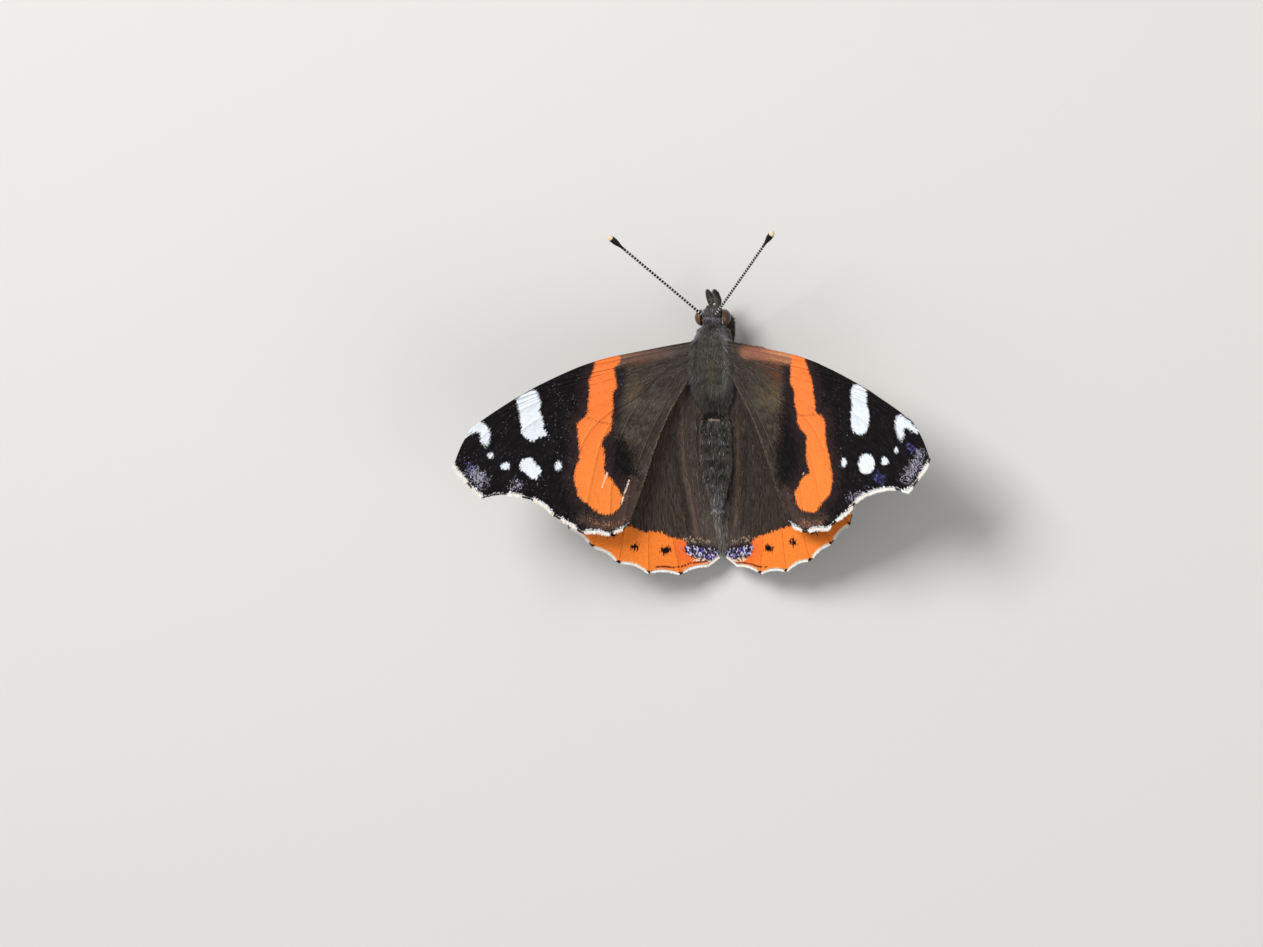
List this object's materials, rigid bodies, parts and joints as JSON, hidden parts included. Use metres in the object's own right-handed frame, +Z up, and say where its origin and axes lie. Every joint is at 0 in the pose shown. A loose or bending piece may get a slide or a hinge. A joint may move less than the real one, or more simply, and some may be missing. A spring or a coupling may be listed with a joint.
{
  "type": "red admiral butterfly (Vanessa atalanta), still model",
  "caption": "Life-size still model of a red admiral butterfly basking with its scalloped wings spread and half raised, standing on its walking legs.",
  "frame": {"origin": "centre of the footprint of the whole insect, at the floor its feet stand on", "axes": "+Y toward the head, +X to the insect's right, +Z up"},
  "size_m": [0.06, 0.0416, 0.018],
  "materials": {
    "wing_scales": "matte",
    "body_hair": "matte",
    "eye": "gloss",
    "leg": "matte",
    "antenna": "satin"
  },
  "bodies": {
    "root": {"thorax": "body_hair", "abdomen": "body_hair", "head": "body_hair", "proboscis": "antenna", "eye_r": "eye", "palp_r": "body_hair", "antenna_r": "antenna", "forewing_r": "wing_scales", "hindwing_r": "wing_scales", "foreleg_r": "body_hair", "midleg_r": "leg", "hindleg_r": "leg", "eye_l": "eye", "palp_l": "body_hair", "antenna_l": "antenna", "forewing_l": "wing_scales", "hindwing_l": "wing_scales", "foreleg_l": "body_hair", "midleg_l": "leg", "hindleg_l": "leg"}
  },
  "joints": []
}
